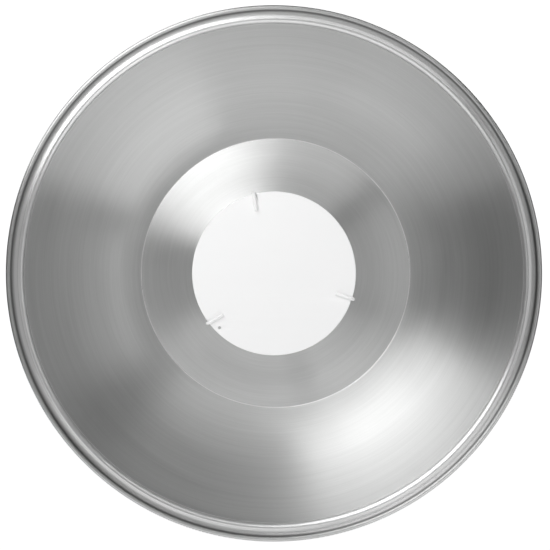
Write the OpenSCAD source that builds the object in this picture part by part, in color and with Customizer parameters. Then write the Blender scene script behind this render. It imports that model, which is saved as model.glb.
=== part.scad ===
// Softlight reflector (beauty dish) that clamps onto a studio flash head.
// The optical axis lies along Y, the mouth faces -Y, and +Z is up.
// The origin is the centre of the collar's rear face, where the flash head enters.
// Azimuths are measured in the XZ plane, from +X towards +Z.

/* [Bowl] */
// Outside diameter over the rolled rim
dish_d = 520; // [500:5:540]
// Thickness of the spun sheet
sheet_t = 1.2; // [1:0.1:1.3]
// Diameter of the crease where the wall meets the inner cone
crease_d = 273; // [265:1:281]
// Slope of the wall at the rim, in degrees from flat
wall_rim_slope = 50; // [47:1:53]
// Slope of the wall at the crease, in degrees from flat
wall_crease_slope = 28; // [25:1:31]
// Slope at which the inner cone rises towards the centre, in degrees
cone_slope = 12; // [10:1:14]

/* [Rim] */
// Outside diameter of the rolled bead
bead_d = 5; // [4.6:0.1:5.4]
// Radius of the trough between the bead and the lip
trough_r = 7.2; // [6.6:0.1:7.8]
// Radius of the lip that rolls from the wall into the trough
lip_r = 4.5; // [4.1:0.1:4.9]

/* [Deflector] */
// Diameter of the deflector disc
disc_d = 162; // [158:1:166]
// Thickness of the deflector disc
disc_t = 1.5; // [1.2:0.1:2]
// Depth of the disc's front face behind the mouth
disc_depth = 38; // [34:1:42]
// Diameter of the rods that carry the disc
rod_d = 3.5; // [3:0.1:4]
// Length of each rod's arm over the disc's face, from the middle of its leg
rod_arm = 17.7; // [14:0.1:24]
// Diameter of the hanging hole near the disc's edge
hang_hole_d = 3; // [2:0.1:4]

/* [Collar] */
// Diameter of the flash head that the collar grips
head_d = 100; // [99:0.1:101]
// Length of the rubber bore that grips the head
bore_len = 46; // [42:1:50]
// Depth of the whole reflector, from the mouth to the collar's rear face
total_depth = 140; // [136:1:146]
// Number of slots that let the neck flex
slots = 8; // [4:4:12]

/* [Clamp] */
// Width of the clamp band
band_w = 20; // [18:1:22]
// Distance from the collar's rear face to the middle of the band
band_set_back = 16; // [14:1:20]
// Diameter of the wire that the link is bent from
wire_d = 2.5; // [2.2:0.1:2.6]

/* [Hidden] */
$fn = 96;
gap = 0.05;                    // radial or face clearance between fitted parts
mouth = -total_depth;          // y of the mouth plane

// ---- sections, as [r, y] points ----
// A slope says how far a face turns from the mouth plane; above 0 it faces the axis.

// Unit normal of a face at a slope
function normal(slope) = [-sin(slope), -cos(slope)];
// Points along an arc after its first one, as the stretch before it ends there;
// bulge is 1 where the face is convex and -1 where it is hollow
function arc(centre, r, from, to, bulge, steps) =
  [for (i = [1:steps]) centre + bulge * r * normal(from + (to - from) * i / steps)];
function reversed(list) = [for (i = [len(list) - 1:-1:0]) list[i]];

// ---- section of the bowl ----

bead_r = bead_d / 2;
bead_slope = 85;               // where the bead's inner side meets the groove
bead_end_slope = -215;         // where the bead's curl stops behind the rim
groove_r = 0.6;                // tight groove at the bead's foot
groove_slope = 35;             // where the groove opens into the trough
trough_slope = -17;            // where the trough meets the lip
lip_slope = 75;                // steepest point of the lip's inner side
foot_r = 3;                    // hollow from the lip down to the wall
crease_r = 1.6;
cone_hole_r = 58;              // hole in the middle of the cone

bead_c = [dish_d / 2 - bead_r, mouth + bead_r];
groove_c = bead_c + (bead_r + groove_r) * normal(bead_slope);
trough_c = groove_c + (trough_r - groove_r) * normal(groove_slope);
lip_c = trough_c - (trough_r + lip_r) * normal(trough_slope);
foot_c = lip_c + (lip_r + foot_r) * normal(lip_slope);
wall_top = foot_c - foot_r * normal(wall_rim_slope);
crease_top_r = crease_d / 2 + crease_r * sin(wall_crease_slope);
wall_r = (wall_top[0] - crease_top_r) / (sin(wall_rim_slope) - sin(wall_crease_slope));
wall_c = wall_top + wall_r * normal(wall_rim_slope);
crease_c = wall_c - (wall_r - crease_r) * normal(wall_crease_slope);
cone_edge = crease_c - crease_r * normal(-cone_slope);

// y of the cone's front face at a radius
function cone_y(r) = cone_edge[1] - (cone_edge[0] - r) * tan(cone_slope);
// A point set back by a depth from the cone's front face at a radius
function behind_cone(r, depth) = [r, cone_y(r)] - depth * normal(-cone_slope);

// The line of the sheet's face, set back by a depth, from the hole out to the bead's end
function bowl_line(t) = concat(
  [behind_cone(cone_hole_r, t), cone_edge - t * normal(-cone_slope)],
  arc(crease_c, crease_r + t, -cone_slope, wall_crease_slope, -1, 6),
  arc(wall_c, wall_r + t, wall_crease_slope, wall_rim_slope, -1, 24),
  arc(foot_c, foot_r + t, wall_rim_slope, lip_slope, -1, 3),
  arc(lip_c, lip_r - t, lip_slope, trough_slope, 1, 10),
  arc(trough_c, trough_r + t, trough_slope, groove_slope, -1, 6),
  arc(groove_c, groove_r + t, groove_slope, bead_slope, -1, 4),
  arc(bead_c, bead_r - t, bead_slope, bead_end_slope, 1, 28)
);

// ---- placing and simple solids ----

// A solid of revolution about the Y axis, from [r, y] points
module lathe(points) rotate([-90, 0, 0]) rotate_extrude() polygon(points);

// Turns what lies at azimuth 0 to an azimuth
module at_azimuth(azimuth) rotate([0, -azimuth, 0]) children();

// Stands what is built on +Z on the cone's front face, its +Z out of the sheet
module on_cone(r, azimuth)
  at_azimuth(azimuth) translate([r, cone_y(r), 0]) rotate([0, 0, cone_slope]) rotate([90, 0, 0])
    children();

// Stands what is built on +Z on a cylinder about the Y axis, its +Z pointing outwards
module on_band(r, azimuth) at_azimuth(azimuth) translate([r, band_y, 0]) rotate([0, 90, 0]) children();

// Part of a ring about the Y axis, of width w about y
module ring_sector(r0, r1, w, y, from, to)
  rotate([-90, 0, 0]) rotate([0, 0, -to]) rotate_extrude(angle = to - from)
    translate([r0, y - w / 2]) square([r1 - r0, w]);

// An outline of [x, z] points as a plate from y0 to y1
module plate(y0, y1) translate([0, y1, 0]) rotate([90, 0, 0]) linear_extrude(y1 - y0) children();

// A cylinder along Y through an [x, z] point
module along_y(p, r, y0, y1) translate([p[0], y0, p[1]]) rotate([-90, 0, 0]) cylinder(r = r, h = y1 - y0);

// Moves what is built on the X and Y axes onto unit directions a and b about a centre
module onto(centre, a, b) {
  n = cross(a, b);
  multmatrix([
    [a[0], b[0], n[0], centre[0]],
    [a[1], b[1], n[1], centre[1]],
    [a[2], b[2], n[2], centre[2]],
    [0, 0, 0, 1]
  ]) children();
}

// Straight round bar from a point along the X axis of the plane that onto() set
module bar(p, length, turn, r)
  translate(p) rotate([0, 0, turn]) rotate([0, 90, 0]) cylinder(r = r, h = length);
// Bent round bar in that plane
module bend(p, from, angle, bend_r, r)
  translate(p) rotate([0, 0, from]) rotate_extrude(angle = angle) translate([bend_r, 0]) circle(r = r);

// A low domed head on z = 0
module dome(r, h) {
  ball_r = (r * r + h * h) / (2 * h);
  intersection() {
    translate([0, 0, h - ball_r]) sphere(r = ball_r);
    cylinder(r = 2 * r, h = h);
  }
}

function polar(r, azimuth) = r * [cos(azimuth), sin(azimuth)];

// ---- deflector ----

rod_r = rod_d / 2;
rod_azimuths = [104, 217, 342];
rod_skews = [6, 6, 0];         // how far each arm points off the axis, in degrees
rod_bend_r = 3;
rod_reach = disc_d / 2 + 1.2;  // furthest that the middle of a rod stands from the axis
disc_front = mouth + disc_depth;
arm_y = disc_front - rod_r - gap / 2;
arm_len = rod_arm - rod_bend_r;
arm_seat = 0.2;
// A rod's leg stands square to the cone, so it leans out towards the mouth
leg_dir = [sin(cone_slope), -cos(cone_slope), 0];
leg_top = [
  rod_reach - rod_bend_r * (1 - cos(cone_slope)),
  arm_y + rod_bend_r * (1 + sin(cone_slope)),
  0
];
leg_len = (cone_y(leg_top[0]) - leg_top[1]) * cos(cone_slope);
rod_foot_r = leg_top[0] - leg_len * sin(cone_slope);
rod_washer_r = 4.5;
rod_washer_t = 0.8;
rod_nut_across = 7;            // across flats
rod_nut_h = 3.2;
thread_spare = 2;              // thread that shows past the back nut
rod_tail = sheet_t + rod_washer_t + rod_nut_h + thread_spare;
hang_hole_r = 76;              // distance of the hanging hole from the axis
hang_hole_azimuth = 225;
notch_r = rod_r + 0.2;

module rod(skew) {
  arm_dir = [-cos(skew), 0, sin(skew)];
  across = arm_dir - (arm_dir * leg_dir) * leg_dir;
  side = across / norm(across);
  turn = acos(arm_dir * leg_dir);
  // in this plane the leg runs along +Y and the bend turns it towards -X
  onto(leg_top, -side, leg_dir) {
    bar([0, -leg_len - rod_tail], leg_len + rod_tail, 90, rod_r);
    bend([-rod_bend_r, 0], 0, turn, rod_bend_r, rod_r);
    // the arm starts a hair inside the bend and a hair thinner, so that the two join into one solid
    arm_run = [-sin(turn), cos(turn)];
    arm_start = rod_bend_r * [cos(turn) - 1, sin(turn)] - arm_seat * arm_run;
    bar(arm_start, arm_len + arm_seat, 90 + turn, rod_r - 0.01);
  }
}

// Cut in the disc's edge that a rod's bend passes through
module rod_notch(skew) translate([rod_reach, disc_front - 1, 0]) rotate([0, skew, 0]) {
  depth = rod_bend_r - notch_r;
  translate([-depth, 0, 0]) rotate([-90, 0, 0]) cylinder(r = notch_r, h = disc_t + 2);
  translate([-depth, 0, -notch_r]) cube([4 * notch_r, disc_t + 2, 2 * notch_r]);
}

module deflector_disc() color([0.95, 0.95, 0.95]) difference() {
  along_y([0, 0], disc_d / 2, disc_front, disc_front + disc_t);
  for (i = [0:2]) at_azimuth(rod_azimuths[i]) rod_notch(rod_skews[i]);
  along_y(polar(hang_hole_r, hang_hole_azimuth), hang_hole_d / 2, disc_front - 1, disc_front + disc_t + 1);
}

module deflector_rod(i) color([0.93, 0.93, 0.93]) at_azimuth(rod_azimuths[i]) rod(rod_skews[i]);

// A plain nut or washer's outline with the rod's hole through it, from z0 up by h
module on_rod(z0, h) for (a = rod_azimuths) on_cone(rod_foot_r, a) difference() {
  translate([0, 0, z0]) children();
  translate([0, 0, z0 - 1]) cylinder(r = rod_r + gap, h = h + 2);
}
module hex_nut() rotate([0, 0, 30]) cylinder(r = rod_nut_across / sqrt(3), h = rod_nut_h, $fn = 6);

module rod_front_nuts() color([0.75, 0.75, 0.76]) on_rod(gap, rod_nut_h) hex_nut();
module rod_washers() color([0.78, 0.78, 0.79])
  on_rod(-sheet_t - gap - rod_washer_t, rod_washer_t) cylinder(r = rod_washer_r, h = rod_washer_t);
module rod_back_nuts() color([0.75, 0.75, 0.76])
  on_rod(-sheet_t - rod_washer_t - 2 * gap - rod_nut_h, rod_nut_h) hex_nut();

// ---- collar ----

head_r = head_d / 2;
liner_t = 3;
neck_t = 2;
neck_r = head_r + liner_t + gap;      // inside of the neck
neck_roll_r = 3;                      // roll from the flange into the neck
flange_r = 68;
flange_set_back = sheet_t + gap;      // depth of the flange behind the cone's face
neck_rivet_circle_r = 62.5;
neck_rivets_n = 6;
rivet_r = 1.6;
rivet_head_r = 3;
rivet_head_h = 1.1;
liner_lip_t = 1.5;
slot_w = 3;
slot_len = bore_len - 4;
neck_roll_depth = flange_set_back + neck_roll_r;
neck_roll_c = behind_cone(neck_r + neck_roll_r + neck_roll_depth * sin(cone_slope), neck_roll_depth);

function neck_line(t) = concat(
  [behind_cone(flange_r, flange_set_back + t), neck_roll_c + (neck_roll_r - t) * normal(-cone_slope)],
  arc(neck_roll_c, neck_roll_r - t, -cone_slope, 90, 1, 10),
  [[neck_r + t, -liner_lip_t - gap]]
);

// The rivets through the cone and the flange, or their holes when grown by a clearance
module neck_rivet_shanks(clearance, over)
  for (i = [0:neck_rivets_n - 1]) on_cone(neck_rivet_circle_r, (i + 0.5) * 360 / neck_rivets_n)
    translate([0, 0, -flange_set_back - neck_t - over]) cylinder(
      r = rivet_r + clearance, h = flange_set_back + neck_t + 2 * over);

module reflector_bowl() color([0.72, 0.73, 0.73]) difference() {
  lathe(concat(bowl_line(0), reversed(bowl_line(sheet_t))));
  neck_rivet_shanks(gap, 1);
  for (a = rod_azimuths) on_cone(rod_foot_r, a) translate([0, 0, -3]) cylinder(r = rod_r + gap, h = 6);
}

module neck_tube() color([0.7, 0.71, 0.71]) difference() {
  lathe(concat(neck_line(0), reversed(neck_line(neck_t))));
  neck_rivet_shanks(gap, 1);
  for (i = [0:slots - 1]) at_azimuth((i + 0.5) * 360 / slots) {
    translate([neck_r - 1, -slot_len, -slot_w / 2]) cube([neck_t + 2, slot_len, slot_w]);
    translate([neck_r - 1, -slot_len, 0]) rotate([0, 90, 0]) cylinder(r = slot_w / 2, h = neck_t + 2);
  }
  along_band_rivet(anchor_azimuth, neck_r - 1, neck_t + shank_over, gap);
}

module neck_rivets() color([0.8, 0.8, 0.8]) {
  neck_rivet_shanks(0, gap);
  for (i = [0:neck_rivets_n - 1]) on_cone(neck_rivet_circle_r, (i + 0.5) * 360 / neck_rivets_n) {
    translate([0, 0, gap]) dome(rivet_head_r, rivet_head_h);
    translate([0, 0, -flange_set_back - neck_t - gap]) mirror([0, 0, 1]) dome(rivet_head_r, rivet_head_h);
  }
}

module rubber_liner() color([0.1, 0.1, 0.1]) lathe([
  [head_r, -bore_len], [head_r + liner_t, -bore_len], [head_r + liner_t, -liner_lip_t],
  [neck_r + neck_t, -liner_lip_t], [neck_r + neck_t, 0], [head_r, 0]
]);

// ---- clamp band and its latch ----

band_y = -band_set_back;
band_t = 1;
band_r = neck_r + neck_t + gap;       // inside of the band
band_top_r = band_r + band_t;
band_gap = 14;                        // degrees of gap at the top of the band
plate_r = band_top_r + gap;           // inside of the latch's curved plates
plate_t = 1.5;
plate_w = 16;
plate_top_r = plate_r + plate_t;
small_head_r = 2.4;
small_head_h = 1;
anchor_azimuth = -90;          // the rivet that holds the band on the neck
base_rivet_azimuths = [118, 130];
keeper_rivet_azimuths = [50, 63];

wire_r = wire_d / 2;
pivot = [-8, 63];                     // lever pin
link_pin = [-17, 62.2];               // where the link's ends enter the lever
bow = [16, 61];                       // middle of the link's far end, in the hook
pin_r = 2;
pin_head_r = 3.2;
pin_head_t = 0.5;
ear_in = 4.3;                         // the base's ears, either side of the middle
ear_out = 5.5;
ear_root_r = plate_r + 1.3;    // where the ears run into the base's plate
ear_r = 3.6;                   // round end of the ears
ear_from = 98.5;               // azimuths between which the ears stand on the plate
ear_to = 117;
base_from = 98;
base_to = 135;
hook_from = 43;
hook_to = 77;
hook_root_r = plate_r + 0.6;   // where the hook's wall runs into its plate
hook_bevel = 0.5;              // cut on the hook's outer corner
shank_over = 4;                // longer than any stack that a band rivet's hole passes
flange_in = 5.8;                      // the lever's flanges, outside the ears
flange_out = 6.8;
link_half_w = 9.1;                    // the link's legs, outside the flanges
link_bend_r = 2.2;
link_end = 5;                         // how far in the link's ends reach
link_len = norm(bow - link_pin);
lever_top_r = 67.6;
lever_web_t = 1.2;
lever_from = 102;
lever_to = 140;
lever_end_r = 64.6;                   // where the flanges stop at the finger end
lever_eye_r = 4.2;             // round end of the flanges about the pin
lever_eye_from = -130;
lever_eye_to = 100;
lever_lip_r = 1.5;
hook_half_w = 5;
hook_t = 1.6;
hook_clear = 0.3;
hook_rise = 1.3;                      // room over the wire that lets it lift out
hook_reach = 2.2;                     // how far the lip passes the wire's middle

// A shank, or its hole, that stands on the band's radius r0 and is h long
module along_band_rivet(azimuth, r0, h, clearance)
  on_band(r0, azimuth) cylinder(r = rivet_r + clearance, h = h);
module band_rivet(azimuth, r0, top_r) {
  along_band_rivet(azimuth, r0, top_r + gap - r0, 0);
  on_band(top_r + gap, azimuth) dome(small_head_r, small_head_h);
}

module clamp_band() color([0.68, 0.69, 0.7]) difference() {
  ring_sector(band_r, band_top_r, band_w, band_y, 90 + band_gap / 2, 450 - band_gap / 2);
  for (a = concat(base_rivet_azimuths, keeper_rivet_azimuths, anchor_azimuth))
    along_band_rivet(a, band_r - 1, shank_over, gap);
}
module band_anchor_rivet() color([0.8, 0.8, 0.8]) band_rivet(anchor_azimuth, neck_r, band_top_r);

// An outline on both sides of the middle of the band, between two distances from it
module both_sides(from, to) for (side = [-1, 1])
  plate(band_y + min(side * from, side * to), band_y + max(side * from, side * to)) children();

module latch_base() color([0.72, 0.73, 0.74]) difference() {
  union() {
    ring_sector(plate_r, plate_top_r, plate_w, band_y, base_from, base_to);
    both_sides(ear_in, ear_out) {
      translate(pivot) circle(r = ear_r);
      polygon([
        pivot + [ear_r, 0], pivot - [ear_r, 0],
        polar(ear_root_r, ear_to), polar(ear_root_r, ear_from)
      ]);
    }
  }
  along_y(pivot, pin_r + gap, band_y - plate_w, band_y + plate_w);
  for (a = base_rivet_azimuths) along_band_rivet(a, band_r, shank_over, gap);
}
module base_rivets() color([0.8, 0.8, 0.8])
  for (a = base_rivet_azimuths) band_rivet(a, band_r, plate_top_r);

// Hook whose mouth opens away from the lever, over the link's wire
module keeper_hook() color([0.72, 0.73, 0.74]) {
  wall_in = bow[0] - wire_r - hook_clear;
  lip_low = bow[1] + wire_r + hook_rise;
  lip_end = bow[0] + hook_reach;
  root_z = sqrt(pow(hook_root_r, 2) - pow(wall_in, 2));
  difference() {
    ring_sector(plate_r, plate_top_r, plate_w, band_y, hook_from, hook_to);
    for (a = keeper_rivet_azimuths) along_band_rivet(a, band_r, shank_over, gap);
  }
  plate(band_y - hook_half_w, band_y + hook_half_w) polygon([
    [wall_in - hook_t, root_z], [wall_in, root_z], [wall_in, lip_low], [lip_end, lip_low],
    [lip_end, lip_low + hook_t], [wall_in - hook_bevel, lip_low + hook_t],
    [wall_in - hook_t, lip_low + hook_bevel]
  ]);
}
module keeper_rivets() color([0.8, 0.8, 0.8])
  for (a = keeper_rivet_azimuths) band_rivet(a, band_r, plate_top_r);

module lever_pin() color([0.8, 0.8, 0.82]) {
  along_y(pivot, pin_r, band_y - flange_out - 0.1, band_y + flange_out + 0.1);
  for (side = [-1, 1]) translate([pivot[0], band_y + side * (flange_out + 0.1), pivot[1]])
    rotate([-90 * side, 0, 0]) cylinder(r = pin_head_r, h = pin_head_t);
}

// Points of an arc in the XZ plane, about an [x, z] centre
function arc_xz(centre, r, from, to, steps) =
  [for (i = [0:steps]) centre + polar(r, from + (to - from) * i / steps)];

// One flange's outline: round the eye, along under the web, and straight back from the finger end
function lever_outline() = concat(
  arc_xz(pivot, lever_eye_r, lever_eye_from, lever_eye_to, 20),
  arc_xz([0, 0], lever_top_r - lever_web_t / 2, lever_from - 1, lever_to, 14),
  [polar(lever_end_r, lever_to)]
);

// A channel of sheet: its web lies outside, and its two flanges carry the pin and the link
module latch_lever() color([0.76, 0.77, 0.78]) {
  both_sides(flange_in, flange_out) difference() {
    polygon(lever_outline());
    translate(pivot) circle(r = pin_r + gap);
    translate(link_pin) circle(r = wire_r + gap);
  }
  plate(band_y - flange_out, band_y + flange_out) polygon(concat(
    arc_xz([0, 0], lever_top_r, lever_from, lever_to, 14),
    reversed(arc_xz([0, 0], lever_top_r - lever_web_t, lever_from, lever_to, 14))
  ));
  along_y(polar(lever_top_r - 0.2, lever_to - 0.5), lever_lip_r, band_y - flange_out, band_y + flange_out);
}

module latch_link() color([0.8, 0.81, 0.82]) {
  run = (bow - link_pin) / link_len;
  straight = link_half_w - link_bend_r;
  onto([link_pin[0], band_y, link_pin[1]], [run[0], 0, run[1]], [0, 1, 0]) {
    for (side = [-1, 1]) {
      bar([0, side * link_end], straight - link_end, 90 * side, wire_r);
      bar([link_bend_r, side * link_half_w], link_len - 2 * link_bend_r, 0, wire_r);
      bend([link_bend_r, side * straight], side > 0 ? 90 : 180, 90, link_bend_r, wire_r);
      bend([link_len - link_bend_r, side * straight], side > 0 ? 0 : -90, 90, link_bend_r, wire_r);
    }
    bar([link_len, -straight], 2 * straight, 90, wire_r);
  }
}

reflector_bowl();
deflector_disc();
deflector_rod(0);  // deflector_rod_1
deflector_rod(1);  // deflector_rod_2
deflector_rod(2);  // deflector_rod_3
rod_front_nuts();
rod_washers();
rod_back_nuts();
neck_tube();
neck_rivets();
rubber_liner();
clamp_band();
band_anchor_rivet();
latch_base();
base_rivets();
keeper_hook();
keeper_rivets();
lever_pin();
latch_lever();
latch_link();
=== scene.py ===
"""Looks for a softlight reflector: a spun aluminium bowl, a white deflector on rods, and a clamp collar.

Everything is in metres. The optical axis lies along Y, the mouth faces -Y and +Z is up.
Azimuths are in degrees in the XZ plane, from +X towards +Z.
"""

import math

import bmesh
import bpy
from mathutils import Matrix, Vector


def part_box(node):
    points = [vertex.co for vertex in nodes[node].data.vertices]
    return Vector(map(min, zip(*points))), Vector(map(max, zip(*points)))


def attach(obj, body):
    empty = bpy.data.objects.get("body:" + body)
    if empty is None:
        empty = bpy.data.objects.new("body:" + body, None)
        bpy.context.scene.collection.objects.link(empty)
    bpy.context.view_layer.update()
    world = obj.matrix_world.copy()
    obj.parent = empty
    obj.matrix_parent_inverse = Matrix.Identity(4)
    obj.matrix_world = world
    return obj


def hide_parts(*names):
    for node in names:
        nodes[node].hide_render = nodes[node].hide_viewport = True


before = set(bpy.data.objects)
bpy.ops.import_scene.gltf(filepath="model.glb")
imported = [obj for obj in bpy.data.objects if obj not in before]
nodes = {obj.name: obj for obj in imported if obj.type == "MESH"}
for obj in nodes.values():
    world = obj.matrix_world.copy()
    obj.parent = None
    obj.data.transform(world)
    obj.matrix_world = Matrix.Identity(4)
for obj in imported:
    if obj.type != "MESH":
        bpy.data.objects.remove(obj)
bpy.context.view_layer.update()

MM = 0.001

# an outer edge that bends by this angle or more is fully worn on metal, and gets the full painted highlight
# on enamel
EDGE_WEAR_AND_HIGHLIGHT_BEND = math.radians(40)
# a bend with a radius of half of this radius, or tighter, gets the full painted highlight and the full
# smoothing
BURNISH_AND_HIGHLIGHT_R = 6 * MM
# the painted shade in the groove fades out at this distance from the middle of the groove
PAINTED_SHADE_REACH = 3.2 * MM
SHARP_EDGE = 35
WELD_DISTANCE = 0.004 * MM


# ---------------------------------------------------------------- sizes

bowl_low, bowl_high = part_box("reflector_bowl")
disc_low, disc_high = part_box("deflector_disc")

MOUTH = bowl_low.y
DISH_R = bowl_high.x
DISC_FRONT = disc_low.y
DISC_T = disc_high.y - disc_low.y
DISC_R = 81 * MM

SHEET_T = 1.2 * MM
BEAD_R = 2.5 * MM
GROOVE_R = 0.6 * MM
TROUGH_R = 7.2 * MM
LIP_R = 4.5 * MM
FOOT_R = 3 * MM
CREASE_R = 1.6 * MM
CREASE_AT = 136.5 * MM
CONE_HOLE_R = 58 * MM

# slopes of the bowl's face, in degrees from the mouth plane; above 0 the face turns to the axis
BEAD_SLOPE = 85
BEAD_END_SLOPE = -215
GROOVE_SLOPE = 35
TROUGH_SLOPE = -17
LIP_SLOPE = 75
WALL_RIM_SLOPE = 50
WALL_CREASE_SLOPE = 28
CONE_SLOPE = 12

GAP = 0.05 * MM
ROD_R = 1.75 * MM
ROD_AZIMUTHS = (104, 217, 342)
ROD_SKEWS = (6, 6, 0)
ROD_BEND_R = 3 * MM
ROD_ARM = 17.7 * MM
ROD_REACH = DISC_R + 1.2 * MM
ROD_TAIL = 7.2 * MM
THREAD_PITCH = 0.7 * MM
THREAD_DEPTH = 0.3 * MM
THREAD_LENGTH = 12 * MM
THREAD_START = 0.4 * MM
THREAD_POINT = 0.5 * MM
ARM_START_BACK = 0.2 * MM
ARM_START_LENGTH = 0.3 * MM
ARM_START_INSET = 0.15 * MM
ARM_END_ROUND = ((0.25 * MM, 0.0), (0.07 * MM, 0.07 * MM), (0.0, 0.25 * MM))
WELD_HALF_W = 2.1 * MM
WELD_H = 0.25 * MM
WELD_OVER = 0.3 * MM
WELD_STEPS = 16
WELD_BLUNTNESS = 0.35
NOTCH_R = ROD_R + 0.2 * MM
DISC_EDGE_R = 0.6 * MM
HANG_HOLE_R = 1.5 * MM
HANG_HOLE_AT = 76 * MM
HANG_HOLE_AZIMUTH = 225

NUT_ACROSS = 7 * MM
NUT_H = 3.2 * MM
NUT_CORNER_R = 0.35 * MM
NUT_FACE_R = 3.25 * MM
NUT_CHAMFER = 0.25 * MM
NUT_HOLE_R = ROD_R - 0.1 * MM
NUT_CHAMFER_SLOPE = math.tan(math.radians(30))
WASHER_R = 4.5 * MM
WASHER_T = 0.8 * MM
WASHER_EDGE = 0.2 * MM
NECK_T = 2 * MM
NECK_RIVETS = 6
NECK_RIVET_AT = 62.5 * MM
NECK_RIVET_HEAD = (3 * MM, 1.1 * MM)
BAND_Y = -16 * MM
BAND_TOP_R = 56.1 * MM
PLATE_TOP_R = 57.65 * MM
BAND_RIVET_HEAD = (2.4 * MM, 1 * MM)
BASE_RIVETS = (118, 130)
KEEPER_RIVETS = (50, 63)
RIVET_SHANK_R = 1.6 * MM
BAND_RIVET_DEPTH = 2 * MM
BACK_RIVET_DEPTH = 0.1 * MM
RIVET_EDGE = 0.08 * MM


# ---------------------------------------------------------------- section of the bowl


def normal(slope):
    """Unit normal, as (r, y), of a face at a slope."""
    a = math.radians(slope)
    return Vector((-math.sin(a), -math.cos(a)))


def arc(centre, radius, start, end, bulge, steps):
    """Points along an arc after its first; bulge is 1 where the face is convex, -1 where it is hollow."""
    turns = (start + (end - start) * i / steps for i in range(1, steps + 1))
    return [centre + bulge * radius * normal(slope) for slope in turns]


bead_c = Vector((DISH_R - BEAD_R, MOUTH + BEAD_R))
groove_c = bead_c + (BEAD_R + GROOVE_R) * normal(BEAD_SLOPE)
trough_c = groove_c + (TROUGH_R - GROOVE_R) * normal(GROOVE_SLOPE)
lip_c = trough_c - (TROUGH_R + LIP_R) * normal(TROUGH_SLOPE)
foot_c = lip_c + (LIP_R + FOOT_R) * normal(LIP_SLOPE)
wall_top = foot_c - FOOT_R * normal(WALL_RIM_SLOPE)
crease_top_r = CREASE_AT + CREASE_R * math.sin(math.radians(WALL_CREASE_SLOPE))
wall_spread = math.sin(math.radians(WALL_RIM_SLOPE)) - math.sin(math.radians(WALL_CREASE_SLOPE))
WALL_R = (wall_top.x - crease_top_r) / wall_spread
wall_c = wall_top + WALL_R * normal(WALL_RIM_SLOPE)
crease_c = wall_c - (WALL_R - CREASE_R) * normal(WALL_CREASE_SLOPE)
cone_edge = crease_c - CREASE_R * normal(-CONE_SLOPE)


def cone_y(r):
    """Depth of the inner cone's front face at a radius."""
    return cone_edge.y - (cone_edge.x - r) * math.tan(math.radians(CONE_SLOPE))


def bowl_line(depth):
    """The sheet's face, set back by a depth, from the hole in the cone out to the bead's end."""
    hole = Vector((CONE_HOLE_R, cone_y(CONE_HOLE_R))) - depth * normal(-CONE_SLOPE)
    edge = cone_edge - depth * normal(-CONE_SLOPE)
    cone = [hole.lerp(edge, i / 24) for i in range(25)]
    return (
        cone
        + arc(crease_c, CREASE_R + depth, -CONE_SLOPE, WALL_CREASE_SLOPE, -1, 10)
        + arc(wall_c, WALL_R + depth, WALL_CREASE_SLOPE, WALL_RIM_SLOPE, -1, 60)
        + arc(foot_c, FOOT_R + depth, WALL_RIM_SLOPE, LIP_SLOPE, -1, 6)
        + arc(lip_c, LIP_R - depth, LIP_SLOPE, TROUGH_SLOPE, 1, 20)
        + arc(trough_c, TROUGH_R + depth, TROUGH_SLOPE, GROOVE_SLOPE, -1, 12)
        + arc(groove_c, GROOVE_R + depth, GROOVE_SLOPE, BEAD_SLOPE, -1, 8)
        + arc(bead_c, BEAD_R - depth, BEAD_SLOPE, BEAD_END_SLOPE, 1, 48)
    )


def groove_shade_amounts(line):
    """How much painted shade each point of a section gets: a dark line painted into the groove at the bead's
    foot.
    """
    return [max(0.0, 1.0 - (point - groove_c).length / PAINTED_SHADE_REACH) for point in line]


def burnished(line):
    """How much painted highlight, and lower roughness, each point gets: 1 in the tight bends, 0 on the wide
    faces.

    The bead and its groove, outside the trough, are left out.
    """
    rubbed_and_highlight = [0.0] * len(line)
    for k in range(1, len(line) - 1):
        before = line[k] - line[k - 1]
        after = line[k + 1] - line[k]
        bend = before.angle(after) / (before.length + after.length)
        if line[k].x < groove_c.x - GROOVE_R:
            rubbed_and_highlight[k] = min(1.0, bend * BURNISH_AND_HIGHLIGHT_R)
    return rubbed_and_highlight


# ---------------------------------------------------------------- mesh helpers


def new_object(name, mesh):
    """Links a mesh to the scene as a smooth-shaded object."""
    for face in mesh.polygons:
        face.use_smooth = True
    piece = bpy.data.objects.new(name, mesh)
    bpy.context.scene.collection.objects.link(piece)
    return piece


def lathe(name, outline, segments, **values):
    """Turns a closed outline of (r, y) points about the Y axis, and stores values of its points."""
    count = len(outline)
    runs = [0.0]
    for first, second in zip(outline, outline[1:]):
        runs.append(runs[-1] + (second - first).length)
    verts = []
    faces = []
    for i in range(segments):
        a = math.tau * i / segments
        j = (i + 1) % segments
        verts += [(p.x * math.cos(a), p.y, p.x * math.sin(a)) for p in outline]
        for k in range(count):
            n = (k + 1) % count
            faces.append((i * count + k, i * count + n, j * count + n, j * count + k))
    mesh = bpy.data.meshes.new(name)
    mesh.from_pydata(verts, [], faces)
    for key, numbers in {"along": runs, **values}.items():
        mesh.attributes.new(key, "FLOAT", "POINT").data.foreach_set("value", numbers * segments)
    return new_object(name, mesh)


def skin(build, rows, place, closed=False):
    """Joins rows of points into one surface; a row of one point closes an end."""
    made = [[build.verts.new(place @ point) for point in row] for row in rows]
    if closed:
        made.append(made[0])
    count = max(len(row) for row in rows)
    for low, high in zip(made, made[1:]):
        for i in range(count):
            j = (i + 1) % count
            corners = (low[i % len(low)], low[j % len(low)], high[j % len(high)], high[i % len(high)])
            build.faces.new(tuple(dict.fromkeys(corners)))


def turned(profile, segments=32):
    """Rows of points for (r, z) points turned about Z."""
    turns = [math.tau * i / segments for i in range(segments)]
    rows = []
    for r, z in profile:
        around = turns if r > 0 else turns[:1]
        rows.append([Vector((r * math.cos(a), r * math.sin(a), z)) for a in around])
    return rows


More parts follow.
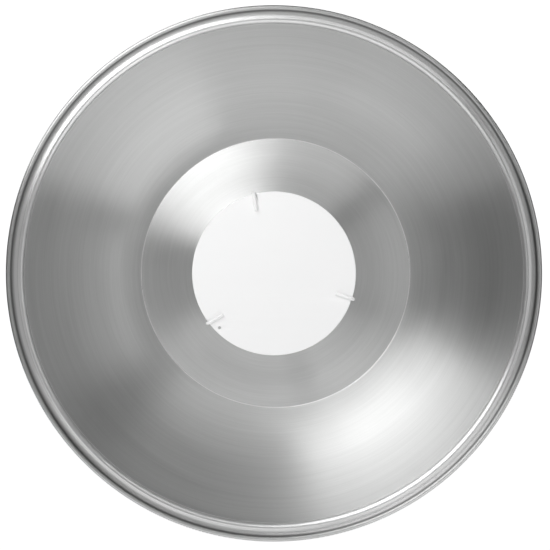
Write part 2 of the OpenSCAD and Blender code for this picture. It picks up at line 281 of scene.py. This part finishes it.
def to_mesh(build, name):
    """Closes a build: its faces turn outwards, and edges sharper than SHARP_EDGE stay sharp."""
    bmesh.ops.recalc_face_normals(build, faces=build.faces)
    mesh = bpy.data.meshes.new(name)
    build.to_mesh(mesh)
    build.free()
    piece = new_object(name, mesh)
    mesh.set_sharp_from_angle(angle=math.radians(SHARP_EDGE))
    mark_edge_wear_and_highlight(mesh)
    return piece


def mark_edge_wear_and_highlight(mesh):
    """Stores how far each point stands on an outer edge, for wear on metal and a painted highlight on
    enamel: 0 on a flat face, 1 on a sharp corner.
    """
    build = bmesh.new()
    build.from_mesh(mesh)
    edge_wear_and_highlight = []
    for vert in build.verts:
        bends = [edge.calc_face_angle_signed(0.0) for edge in vert.link_edges]
        edge_wear_and_highlight.append(min(1.0, max(0.0, max(bends, default=0.0)) / EDGE_WEAR_AND_HIGHLIGHT_BEND))
    build.free()
    mesh.attributes.new("edge_wear_and_highlight", "FLOAT", "POINT").data.foreach_set("value", edge_wear_and_highlight)


def dress(piece, body, slot, *replaced):
    """Gives a piece its body, slot and material, and hides the CAD nodes that it stands for."""
    piece.data.materials.clear()
    piece.data.materials.append(MATERIALS[slot])
    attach(piece, body)
    if replaced:
        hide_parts(*replaced)


def polar(r, azimuth, y=0.0):
    """A point at a radius and an azimuth round the Y axis."""
    a = math.radians(azimuth)
    return Vector((r * math.cos(a), y, r * math.sin(a)))


def standing(place, out, side):
    """Puts what is built on +Z at a place, with its +Z along out and its +Y along side."""
    return Matrix.Translation(place) @ Matrix((side.cross(out), side, out)).transposed().to_4x4()


def on_cone(r, azimuth):
    """Stands what is built on +Z on the cone's front face, its +Z out of the sheet."""
    lean = normal(-CONE_SLOPE)
    out = polar(lean.x, azimuth, lean.y)
    return standing(polar(r, azimuth, cone_y(r)), out, polar(1.0, azimuth + 90))


def on_band(r, azimuth):
    """Stands what is built on +Z on the clamp band, its +Z away from the axis."""
    return standing(polar(r, azimuth, BAND_Y), polar(1.0, azimuth), Vector((0.0, 1.0, 0.0)))


# ---------------------------------------------------------------- material helpers


class Nodes:
    """A material's node tree, with short calls that make a node and wire it."""

    def __init__(self, name):
        self.material = bpy.data.materials.new(name)
        self.material.use_nodes = True
        self.tree = self.material.node_tree
        self.shader = self.tree.nodes["Principled BSDF"]

    def make(self, kind, **settings):
        node = self.tree.nodes.new("ShaderNode" + kind)
        for key, value in settings.items():
            setattr(node, key, value)
        return node

    def link(self, source, target):
        self.tree.links.new(source, target)

    def put(self, socket, value):
        if isinstance(value, bpy.types.NodeSocket):
            self.link(value, socket)
        else:
            socket.default_value = value

    def math(self, operation, *values):
        node = self.make("Math", operation=operation)
        for socket, value in zip(node.inputs, values):
            self.put(socket, value)
        return node.outputs[0]

    def vector(self, operation, *values, scale=None):
        node = self.make("VectorMath", operation=operation)
        for socket, value in zip(node.inputs, values):
            self.put(socket, value)
        if scale is not None:
            node.inputs["Scale"].default_value = scale
        return node.outputs[0]

    def attribute(self, name):
        """A value that the mesh stores at its points."""
        return self.make("Attribute", attribute_name=name, attribute_type="GEOMETRY").outputs["Fac"]

    def noise(self, vector, scale, detail=2.0, roughness=0.5):
        node = self.make("TexNoise")
        self.link(vector, node.inputs["Vector"])
        node.inputs["Scale"].default_value = scale
        node.inputs["Detail"].default_value = detail
        node.inputs["Roughness"].default_value = roughness
        return node.outputs["Fac"]

    def spread(self, value, low, high, out_low, out_high):
        """Maps a value from one range to another, without going past its ends."""
        node = self.make("MapRange", clamp=True)
        for socket, number in zip(node.inputs, (value, low, high, out_low, out_high)):
            self.put(socket, number)
        return node.outputs[0]

    def mix_colour(self, factor, first, second):
        node = self.make("Mix", data_type="RGBA")
        self.put(node.inputs["Factor"], factor)
        self.put(node.inputs["A"], first)
        self.put(node.inputs["B"], second)
        return node.outputs["Result"]

    def bump(self, height, distance):
        node = self.make("Bump")
        node.inputs["Distance"].default_value = distance
        node.inputs["Strength"].default_value = 1.0
        self.link(height, node.inputs["Height"])
        return node.outputs["Normal"]

    def set(self, **values):
        """Sets the shader's sockets by name, with _ for a space."""
        for key, value in values.items():
            self.put(self.shader.inputs[key.replace("_", " ")], value)


def ring_vector(m, around, along):
    """A texture vector that changes slowly round the Y axis and quickly across the rings."""
    place = m.make("TexCoord").outputs["Object"]
    flat = m.vector("MULTIPLY", place, (1, 0, 1))
    turn = m.vector("SCALE", m.vector("NORMALIZE", flat), scale=around)
    line = m.make("CombineXYZ")
    m.link(m.math("MULTIPLY", m.attribute("along"), along), line.inputs["Y"])
    return m.vector("ADD", turn, line.outputs[0])


# noise seldom leaves the band between these two, which is spread over the wanted range
NOISE_LOW = 0.3
NOISE_HIGH = 0.7

SHEET_DULL = (0.57, 0.574, 0.57, 1)
SHEET_BRIGHT = (0.65, 0.654, 0.65, 1)
# painted highlight: the pale colour laid on the bowl's tight bends, where they catch the light
SHEET_PAINTED_HIGHLIGHT = (0.93, 0.93, 0.93, 1)
# painted shade: the near-black colour laid along the groove at the bead's foot, where shade falls
PAINTED_GROOVE_SHADE = (0.06, 0.06, 0.06, 1)
SHEET_ROUGH_LOW = 0.34
SHEET_ROUGH_HIGH = 0.38
SHEET_ROUGH_LINES = 0.03
BURNISH_SMOOTHS = 0.06
BRUSHING = 0.9
QUARTER_TURN = 0.25
RING_BUMP = 0.03 * MM

PAINT_DULL = (0.955, 0.956, 0.958, 1)
PAINT_BRIGHT = (0.97, 0.97, 0.97, 1)
# painted highlight: the whiter colour along the enamel's edges, where they catch the side light
PAINT_EDGE_HIGHLIGHT = (0.97, 0.97, 0.97, 1)
PEEL_BUMP = 0.04 * MM
SCRATCH_BUMP = 0.02 * MM
GRAIN_BUMP = 0.06 * MM
RUBBER_DARK = (0.012, 0.012, 0.012, 1)
RUBBER_PALE = (0.03, 0.03, 0.03, 1)


def spun_aluminium():
    """Bare sheet, spun and then brushed round the axis; its tight bends are smoother and carry a painted
    highlight in their colour, and its groove a painted shade.
    """
    m = Nodes("spun_aluminium")
    fine = m.noise(ring_vector(m, 2.5, 1500), 1.0, 3.0, 0.6)
    middle = m.noise(ring_vector(m, 1.2, 260), 1.0, 2.0)
    broad = m.noise(ring_vector(m, 0.8, 40), 1.0, 1.0)
    lines = m.math("ADD", m.math("MULTIPLY", fine, 0.6), m.math("MULTIPLY", middle, 0.4))
    shade = m.spread(lines, NOISE_LOW, NOISE_HIGH, 0.0, 1.0)
    brushed = m.mix_colour(shade, SHEET_DULL, SHEET_BRIGHT)
    rubbed_and_highlight = m.attribute("burnish")
    # the tight bends get a painted highlight in their colour, and lower roughness below
    with_highlight = m.mix_colour(rubbed_and_highlight, brushed, SHEET_PAINTED_HIGHLIGHT)
    tangent = m.make("Tangent", direction_type="RADIAL", axis="Y").outputs[0]
    line_rough = m.spread(lines, NOISE_LOW, NOISE_HIGH, -SHEET_ROUGH_LINES, SHEET_ROUGH_LINES)
    patch_rough = m.spread(broad, NOISE_LOW, NOISE_HIGH, SHEET_ROUGH_LOW, SHEET_ROUGH_HIGH)
    rough = m.math("ADD", line_rough, patch_rough)
    m.set(
        # base colour: painted shade darkens the groove at the bead's foot
        Base_Color=m.mix_colour(m.attribute("grime"), with_highlight, PAINTED_GROOVE_SHADE),
        Metallic=1.0,
        Roughness=m.math("SUBTRACT", rough, m.math("MULTIPLY", rubbed_and_highlight, BURNISH_SMOOTHS)),
        Anisotropic=BRUSHING,
        Anisotropic_Rotation=QUARTER_TURN,
        Tangent=tangent,
        Normal=m.bump(lines, RING_BUMP),
    )
    return m.material


def white_enamel():
    """Matt white paint with a faint orange peel, with a painted highlight along the edges."""
    m = Nodes("white_enamel")
    place = m.make("TexCoord").outputs["Object"]
    peel = m.noise(place, 900.0, 2.0)
    cloud = m.noise(place, 25.0, 2.0)
    paint = m.mix_colour(cloud, PAINT_DULL, PAINT_BRIGHT)
    m.set(
        # the enamel's edges get a painted highlight in their colour
        Base_Color=m.mix_colour(m.attribute("edge_wear_and_highlight"), paint, PAINT_EDGE_HIGHLIGHT),
        Roughness=m.spread(peel, NOISE_LOW, NOISE_HIGH, 0.42, 0.5),
        Normal=m.bump(peel, PEEL_BUMP),
    )
    return m.material


def plain_metal(name, colour, roughness):
    """Worked metal with fine scratches and dull patches, rubbed bright along its edges."""
    m = Nodes(name)
    place = m.make("TexCoord").outputs["Object"]
    scratch = m.noise(m.vector("MULTIPLY", place, (300, 4000, 300)), 1.0, 3.0, 0.6)
    patch = m.noise(place, 120.0, 3.0)
    rubbed_and_highlight = m.math("MULTIPLY", m.attribute("edge_wear_and_highlight"), m.spread(patch, 0.35, 0.6, 0.3, 1.0))
    dull = tuple(c * 0.8 for c in colour) + (1,)
    bright = tuple(min(1.0, c * 1.25) for c in colour) + (1,)
    body = m.mix_colour(patch, dull, colour + (1,))
    rough = m.spread(scratch, NOISE_LOW, NOISE_HIGH, roughness - 0.06, roughness + 0.08)
    m.set(
        Base_Color=m.mix_colour(rubbed_and_highlight, body, bright),
        Metallic=1.0,
        Roughness=m.math("SUBTRACT", rough, m.math("MULTIPLY", rubbed_and_highlight, 0.1)),
        Normal=m.bump(scratch, SCRATCH_BUMP),
    )
    return m.material


def black_rubber():
    """Dull rubber with a fine moulded grain."""
    m = Nodes("black_rubber")
    place = m.make("TexCoord").outputs["Object"]
    grain = m.noise(place, 1500.0, 3.0)
    m.set(
        Base_Color=m.mix_colour(grain, RUBBER_DARK, RUBBER_PALE),
        Roughness=m.spread(grain, NOISE_LOW, NOISE_HIGH, 0.55, 0.75),
        Normal=m.bump(grain, GRAIN_BUMP),
    )
    return m.material


MATERIALS = {
    "spun_aluminium": spun_aluminium(),
    "white_enamel": white_enamel(),
    "zinc_steel": plain_metal("zinc_steel", (0.62, 0.62, 0.64), 0.32),
    "turned_aluminium": plain_metal("turned_aluminium", (0.76, 0.765, 0.77), 0.38),
    "rivet_aluminium": plain_metal("rivet_aluminium", (0.8, 0.8, 0.81), 0.35),
    "black_rubber": black_rubber(),
    "stainless_steel": plain_metal("stainless_steel", (0.6, 0.6, 0.61), 0.28),
}


# ---------------------------------------------------------------- pieces


def make_bowl():
    """The bowl, turned from its whole section, with the groove's painted shade on its face only."""
    face = bowl_line(0.0)
    rubbed_and_highlight = burnished(face)
    dark = groove_shade_amounts(face)
    outline = face + bowl_line(SHEET_T)[::-1]
    bowl = lathe("spun_bowl", outline, 360, burnish=rubbed_and_highlight + rubbed_and_highlight[::-1], grime=dark + [0.0] * len(face))
    dress(bowl, "dish", "spun_aluminium", "reflector_bowl")


def notch_points(azimuth, skew):
    """Points of one notch in the disc's edge, in the disc's plane, from one side round to the other."""
    reach = polar(ROD_REACH, azimuth)
    out = polar(1.0, azimuth + skew)
    side = polar(1.0, azimuth + skew + 90)
    centre = reach - (ROD_BEND_R - NOTCH_R) * out
    points = []
    for i in range(13):
        a = math.pi * i / 12
        points.append(centre + NOTCH_R * (-math.sin(a) * out - math.cos(a) * side))
    for end, at in ((points[0], 0), (points[-1], len(points) + 1)):
        along = end.dot(out)
        run = math.sqrt(along * along + DISC_R * DISC_R - end.length_squared) - along
        points.insert(at, end + run * out)
    return points


def disc_outline():
    """The disc's edge as points in its plane, with the three notches."""
    notches = [notch_points(azimuth, skew) for azimuth, skew in zip(ROD_AZIMUTHS, ROD_SKEWS)]
    points = []
    for k, notch in enumerate(notches):
        points += notch
        following = notches[(k + 1) % len(notches)][0]
        start = math.atan2(notch[-1].z, notch[-1].x)
        sweep = (math.atan2(following.z, following.x) - start) % math.tau
        steps = max(2, int(sweep / math.radians(1.5)))
        for i in range(1, steps):
            points.append(polar(DISC_R, math.degrees(start + sweep * i / steps)))
    return points


def make_disc():
    """A flat plate cut from an outline with its holes, with rounded edges."""
    curve = bpy.data.curves.new("disc_outline", "CURVE")
    curve.dimensions = "2D"
    curve.fill_mode = "BOTH"
    curve.extrude = DISC_T / 2 - DISC_EDGE_R
    curve.bevel_depth = DISC_EDGE_R
    curve.bevel_resolution = 4
    curve.offset = -DISC_EDGE_R
    hole = polar(HANG_HOLE_AT, HANG_HOLE_AZIMUTH)
    rim = [hole + polar(HANG_HOLE_R, 12 * i) for i in range(30)]
    for loop in (disc_outline(), rim):
        spline = curve.splines.new("POLY")
        spline.points.add(len(loop) - 1)
        for point, place in zip(spline.points, loop):
            point.co = (place.x, place.z, 0.0, 1.0)
        spline.use_cyclic_u = True
    shape = bpy.data.objects.new("disc_outline", curve)
    bpy.context.scene.collection.objects.link(shape)
    bpy.context.view_layer.update()
    mesh = bpy.data.meshes.new_from_object(shape.evaluated_get(bpy.context.evaluated_depsgraph_get()))
    bpy.data.objects.remove(shape)
    build = bmesh.new()
    build.from_mesh(mesh)
    bmesh.ops.remove_doubles(build, verts=build.verts, dist=0.005 * MM)
    for vert in build.verts:
        vert.co = Vector((vert.co.x, DISC_FRONT + DISC_T / 2 - vert.co.z, vert.co.y))
    dress(to_mesh(build, "deflector_plate"), "dish", "white_enamel", "deflector_disc")


class Rod:
    """The line of one rod, from its threaded tail behind the cone to the end of its arm on the disc."""

    def __init__(self, azimuth, skew):
        lean = normal(-CONE_SLOPE)
        self.azimuth = azimuth
        self.leg = polar(lean.x, azimuth, lean.y)
        self.arm = -polar(1.0, azimuth - skew)
        side = (self.arm - self.arm.dot(self.leg) * self.leg).normalized()
        self.normal = side.cross(self.leg)
        arm_y = DISC_FRONT - ROD_R - GAP / 2
        top_r = ROD_REACH - ROD_BEND_R * (1 - abs(lean.y))
        top_y = arm_y + ROD_BEND_R * (1 + lean.x)
        self.top = polar(top_r, azimuth, top_y)
        leg_length = (cone_y(top_r) - top_y) * abs(lean.y)
        self.foot_r = top_r - leg_length * lean.x
        self.tail = self.top - (leg_length + ROD_TAIL) * self.leg
        self.centre = self.top + ROD_BEND_R * side
        self.side = side
        self.turn = math.acos(self.arm.dot(self.leg))

    def bend(self, steps):
        """Points along the bend, each with the direction of the line there."""
        points = []
        for i in range(steps + 1):
            t = self.turn * i / steps
            point = self.centre + ROD_BEND_R * (math.sin(t) * self.leg - math.cos(t) * self.side)
            points.append((point, (math.cos(t) * self.leg + math.sin(t) * self.side).normalized()))
        return points

    def ring(self, place, ahead, radius, segments=24):
        """A ring of points about the rod's line; radius is a number, or a function of the turn."""
        across = ahead.cross(self.normal)
        points = []
        for i in range(segments):
            a = math.tau * i / segments
            r = radius(a) if callable(radius) else radius
            points.append(place + r * (math.cos(a) * across + math.sin(a) * self.normal))
        return points


def thread_rows(rod):
    """A rod's threaded tail: the radius falls and rises once a pitch, along a helix."""

    def helix(run):
        ease = min(1.0, run / THREAD_PITCH, (THREAD_LENGTH - run) / THREAD_PITCH)
        depth = THREAD_DEPTH * ease
        return lambda a: ROD_R - depth * abs(2 * ((run / THREAD_PITCH + a / math.tau) % 1) - 1)

    steps = int(THREAD_LENGTH / THREAD_PITCH * 8)
    rows = [[rod.tail], rod.ring(rod.tail, rod.leg, ROD_R - THREAD_POINT)]
    for i in range(steps + 1):
        run = THREAD_LENGTH * i / steps
        start = THREAD_START * (1 - run / THREAD_LENGTH)
        rows.append(rod.ring(rod.tail + (start + run) * rod.leg, rod.leg, helix(run)))
    rows.append([rod.tail + THREAD_LENGTH * rod.leg])
    return rows


def weld_rows(rod, start, length):
    """The low bead of weld and paint that joins an arm to the disc's face."""
    rows = []
    back = Vector((0.0, 1.0, 0.0))
    across = rod.arm.cross(back)
    for i in range(WELD_STEPS + 1):
        t = i / WELD_STEPS
        size = math.sin(math.pi * t) ** WELD_BLUNTNESS if 0 < t < 1 else 0.0
        place = start + length * t * rod.arm
        place.y = DISC_FRONT
        ring = []
        for k in range(20):
            a = math.tau * k / 20
            ring.append(place + size * (WELD_HALF_W * math.cos(a) * across + WELD_H * math.sin(a) * back))
        rows.append(ring if size else [place])
    return rows


def make_rod(number, azimuth, skew):
    """One rod as two pieces: its bare threaded tail, and its enamelled leg, bend and welded arm."""
    rod = Rod(azimuth, skew)
    here = Matrix()
    tail = bmesh.new()
    skin(tail, thread_rows(rod), here)
    dress(to_mesh(tail, f"rod_{number}_thread"), "dish", "zinc_steel")
    start = rod.tail + (THREAD_LENGTH - ARM_START_BACK) * rod.leg
    full = start + ARM_START_LENGTH * rod.leg
    bend = rod.bend(14)
    end = bend[-1][0] + (ROD_ARM - ROD_BEND_R) * rod.arm
    rows = [[start], rod.ring(start, rod.leg, ROD_R - ARM_START_INSET), rod.ring(full, rod.leg, ROD_R)]
    rows += [rod.ring(place, ahead, ROD_R) for place, ahead in bend]
    for back, inset in ARM_END_ROUND:
        rows.append(rod.ring(end - back * rod.arm, rod.arm, ROD_R - inset))
    rows.append([end])
    arm = bmesh.new()
    skin(arm, rows, here)
    skin(arm, weld_rows(rod, bend[-1][0], ROD_ARM - ROD_BEND_R + WELD_OVER), here)
    dress(to_mesh(arm, f"rod_{number}_arm"), "dish", "white_enamel", f"deflector_rod_{number}")
    return rod


def hexagon():
    """Points round a nut, with rounded corners and extra points along its flats."""
    corner = (NUT_ACROSS / 2 - NUT_CORNER_R) / math.cos(math.radians(30))
    points = []
    for k in range(6):
        middle = Vector((corner, 0.0, 0.0))
        for i in range(5):
            a = math.radians(-30 + 15 * i)
            points.append(middle + NUT_CORNER_R * Vector((math.cos(a), math.sin(a), 0.0)))
        turn = Matrix.Rotation(math.radians(60), 3, "Z")
        first = turn @ (middle + NUT_CORNER_R * Vector((math.cos(math.radians(-30)), -0.5, 0.0)))
        last = points[-1]
        points += [last.lerp(first, i / 6) for i in range(1, 6)]
        points = [turn.inverted() @ p for p in points]
    return points


def nut_rows():
    """A hexagon nut with a chamfer on both faces and a chamfered hole."""
    outline = hexagon()
    rows = []
    faces = ((NUT_HOLE_R, NUT_CHAMFER), (NUT_HOLE_R + NUT_CHAMFER, 0.0), (NUT_FACE_R, 0.0))
    for r, z in faces:
        rows.append([p.normalized() * r + Vector((0.0, 0.0, z)) for p in outline])
    drops = [(p.length - NUT_FACE_R) * NUT_CHAMFER_SLOPE for p in outline]
    rows.append([p + Vector((0.0, 0.0, drop)) for p, drop in zip(outline, drops)])
    rows.append([p + Vector((0.0, 0.0, NUT_H - drop)) for p, drop in zip(outline, drops)])
    for r, z in reversed(faces):
        rows.append([p.normalized() * r + Vector((0.0, 0.0, NUT_H - z)) for p in outline])
    return rows


def washer_rows():
    """A washer with chamfered edges."""
    soft = WASHER_EDGE
    inner = ROD_R + GAP
    profile = [(inner, soft), (inner + soft, 0.0), (WASHER_R - soft, 0.0), (WASHER_R, soft)]
    profile += [(r, WASHER_T - z) for r, z in reversed(profile)]
    return turned(profile, 48)


def make_rod_fasteners(rods):
    """Each rod's nuts on both sides of the cone, and its washer behind."""
    front = bmesh.new()
    washers = bmesh.new()
    back = bmesh.new()
    for rod in rods:
        place = on_cone(rod.foot_r, rod.azimuth)
        spin = Matrix.Rotation(math.radians(30 + 3 * rod.azimuth), 4, "Z")
        depth = SHEET_T + GAP + WASHER_T
        skin(front, nut_rows(), place @ Matrix.Translation((0, 0, GAP)) @ spin, closed=True)
        skin(washers, washer_rows(), place @ Matrix.Translation((0, 0, -depth)), closed=True)
        skin(back, nut_rows(), place @ Matrix.Translation((0, 0, -depth - GAP - NUT_H)) @ spin, closed=True)
    dress(to_mesh(front, "nuts_in_front"), "dish", "zinc_steel", "rod_front_nuts")
    dress(to_mesh(washers, "washers_behind"), "dish", "zinc_steel", "rod_washers")
    dress(to_mesh(back, "nuts_behind"), "dish", "zinc_steel", "rod_back_nuts")


def rivet_rows(head, shank_to):
    """A domed rivet head that stands on z = 0, with its shank down to a depth."""
    head_r, head_h = head
    ball_r = (head_r * head_r + head_h * head_h) / (2 * head_h)
    widest = math.asin(head_r / ball_r)
    profile = [(0.0, -shank_to), (RIVET_SHANK_R, -shank_to), (RIVET_SHANK_R, 0.0), (head_r * 0.96, 0.0)]
    for i in range(11):
        a = widest * (1 - i / 10)
        profile.append((ball_r * math.sin(a), max(RIVET_EDGE, head_h - ball_r * (1 - math.cos(a)))))
    return turned(profile, 40)


def make_rivets():
    """The six neck rivets, with a head on both sides, and the heads on the clamp band."""
    build = bmesh.new()
    flip = Matrix.Rotation(math.pi, 4, "X")
    behind = SHEET_T + NECK_T + 2 * GAP
    for i in range(NECK_RIVETS):
        place = on_cone(NECK_RIVET_AT, (i + 0.5) * 360 / NECK_RIVETS)
        seat = place @ Matrix.Translation((0, 0, -behind)) @ flip
        skin(build, rivet_rows(NECK_RIVET_HEAD, behind / 2), place @ Matrix.Translation((0, 0, GAP)))
        skin(build, rivet_rows(NECK_RIVET_HEAD, BACK_RIVET_DEPTH), seat)
    dress(to_mesh(build, "neck_rivet_heads"), "dish", "rivet_aluminium", "neck_rivets")
    groups = (
        ("anchor_rivet_head", (-90,), BAND_TOP_R, "band_anchor_rivet"),
        ("base_rivet_heads", BASE_RIVETS, PLATE_TOP_R, "base_rivets"),
        ("keeper_rivet_heads", KEEPER_RIVETS, PLATE_TOP_R, "keeper_rivets"),
    )
    for name, azimuths, top_r, node in groups:
        build = bmesh.new()
        for azimuth in azimuths:
            skin(build, rivet_rows(BAND_RIVET_HEAD, BAND_RIVET_DEPTH), on_band(top_r + GAP, azimuth))
        dress(to_mesh(build, name), "dish", "rivet_aluminium", node)


def soften(name, node, body, slot, width):
    """A piece made from a CAD node's own shape, with its sharp edges rounded."""
    build = bmesh.new()
    build.from_mesh(nodes[node].data)
    bmesh.ops.remove_doubles(build, verts=build.verts, dist=WELD_DISTANCE)
    flat = math.radians(0.5)
    bmesh.ops.dissolve_limit(build, angle_limit=flat, verts=build.verts, edges=build.edges)
    sharp = [edge for edge in build.edges if edge.calc_face_angle(0.0) > math.radians(SHARP_EDGE)]
    bmesh.ops.bevel(
        build, geom=sharp, offset=width, offset_type="OFFSET", segments=3, profile=0.5,
        affect="EDGES", clamp_overlap=True,
    )
    dress(to_mesh(build, name), body, slot, node)


def make_collar():
    """The neck, its liner, the clamp band and the latch, each with its own rounding."""
    soften("neck_with_slots", "neck_tube", "dish", "turned_aluminium", 0.35 * MM)
    soften("grip_liner", "rubber_liner", "dish", "black_rubber", 0.6 * MM)
    soften("clamp_strap", "clamp_band", "dish", "stainless_steel", 0.25 * MM)
    soften("latch_bracket", "latch_base", "dish", "stainless_steel", 0.25 * MM)
    soften("latch_hook", "keeper_hook", "dish", "stainless_steel", 0.3 * MM)
    soften("lever_axle", "lever_pin", "dish", "zinc_steel", 0.15 * MM)
    soften("lever_arm", "latch_lever", "lever", "stainless_steel", 0.2 * MM)
    soften("wire_link", "latch_link", "link", "zinc_steel", 0.15 * MM)


# ---------------------------------------------------------------- stage, light and camera

CAMERA_DISTANCE = 1.8
CAMERA_SIDE = 0.05
CAMERA_HEIGHT = 0.012
AIM = Vector((0.00205, MOUTH + BEAD_R, -0.0013))
FRAME_WIDTH = 0.5327
SENSOR = 36.0
BACKDROP_R = 7.0
BACKDROP_LEVEL = 1.0
FLOOR_R = 4.0
FLOOR_Z = -1.5
FLOOR_LEVEL = 0.5
WORLD_LEVEL = 0.04


def make_camera():
    """A long lens in front of the mouth, slightly to the side of the axis and above it."""
    data = bpy.data.cameras.new("camera")
    data.sensor_width = SENSOR
    data.lens = SENSOR * CAMERA_DISTANCE / FRAME_WIDTH
    camera = bpy.data.objects.new("camera", data)
    bpy.context.scene.collection.objects.link(camera)
    camera.location = (CAMERA_SIDE, MOUTH + BEAD_R - CAMERA_DISTANCE, CAMERA_HEIGHT)
    camera.rotation_mode = "QUATERNION"
    camera.rotation_quaternion = (AIM - camera.location).to_track_quat("-Z", "Y")
    bpy.context.scene.camera = camera


def softbox(name, azimuth, off_axis, distance, width, height, level):
    """An area light that faces the origin, the rear end of the collar.

    Its place is given by its azimuth and its angle off the axis, and its width runs round the axis.
    """
    a = math.radians(azimuth)
    p = math.radians(off_axis)
    out = Vector((math.sin(p) * math.cos(a), -math.cos(p), math.sin(p) * math.sin(a)))
    side = Vector((-math.sin(a), 0.0, math.cos(a)))
    data = bpy.data.lights.new(name, "AREA")
    data.shape = "RECTANGLE"
    data.size = width
    data.size_y = height
    data.energy = level * width * height * math.pi
    light = bpy.data.objects.new(name, data)
    bpy.context.scene.collection.objects.link(light)
    turn = Matrix((side, out.cross(side), out)).transposed()
    light.matrix_world = Matrix.Translation(out * distance) @ turn.to_4x4()
    light.visible_camera = False


def make_lights():
    """Softboxes that make the bright and dark sectors of the bowl, and a faint even light from all round."""
    softbox("key_low", 129, 31, 1.6, 0.93, 0.6, 2.9)
    softbox("key_high", 129, 58, 1.6, 1.5, 0.92, 1.8)
    softbox("key_core", 128, 45, 1.6, 0.6, 1.1, 0.75)
    softbox("fill_top_right", 73, 35, 1.6, 0.95, 0.56, 1.85)
    softbox("fill_right", 8, 41, 1.6, 1.1, 0.9, 1.0)
    softbox("fill_low_left", 232, 65, 1.6, 0.76, 0.45, 0.3)
    softbox("fill_low", 247, 33, 1.6, 1.2, 0.7, 0.8)
    softbox("fill_low_right", 314, 36, 1.6, 0.9, 0.5, 0.8)
    softbox("fill_low_right_high", 300, 70, 1.6, 0.9, 0.5, 0.1)
    softbox("fill_low_right_mid", 311, 51, 1.6, 1.1, 0.35, 1.5)
    softbox("fill_left", 194, 25, 1.6, 0.59, 0.5, 1.15)
    softbox("rear_key", 60, 132, 1.8, 1.6, 1.1, 2.0)
    softbox("rear_fill", 185, 125, 1.8, 1.4, 1.1, 0.8)
    softbox("rear_low", 300, 140, 1.8, 1.2, 0.8, 0.6)
    world = bpy.data.worlds.new("studio")
    world.use_nodes = True
    sky = world.node_tree.nodes["Background"]
    sky.inputs["Color"].default_value = (1, 1, 1, 1)
    sky.inputs["Strength"].default_value = WORLD_LEVEL
    bpy.context.scene.world = world
    bpy.context.scene.view_settings.view_transform = "Standard"


def glowing_white(name, level):
    """Matt white that also gives light."""
    m = Nodes(name)
    m.set(
        Base_Color=(0.8, 0.8, 0.8, 1),
        Emission_Color=(1, 1, 1, 1),
        Emission_Strength=level,
        Roughness=0.9,
    )
    return m.material


def make_stage():
    """A white backdrop all round, which only the camera sees, and a pale floor below the lights."""
    mesh = bpy.data.meshes.new("backdrop")
    build = bmesh.new()
    bmesh.ops.create_icosphere(build, subdivisions=4, radius=BACKDROP_R)
    build.to_mesh(mesh)
    build.free()
    backdrop = new_object("backdrop", mesh)
    mesh.materials.append(glowing_white("backdrop", BACKDROP_LEVEL))
    backdrop.visible_diffuse = False
    backdrop.visible_glossy = False
    backdrop.visible_shadow = False
    mesh = bpy.data.meshes.new("floor")
    build = bmesh.new()
    bmesh.ops.create_circle(build, cap_ends=True, radius=FLOOR_R, segments=96)
    build.to_mesh(mesh)
    build.free()
    floor = new_object("floor", mesh)
    floor.location.z = FLOOR_Z
    mesh.materials.append(glowing_white("floor", FLOOR_LEVEL))


make_bowl()
make_disc()
rods = [make_rod(i + 1, ROD_AZIMUTHS[i], ROD_SKEWS[i]) for i in range(len(ROD_AZIMUTHS))]
make_rod_fasteners(rods)
make_rivets()
make_collar()
make_camera()
make_lights()
make_stage()
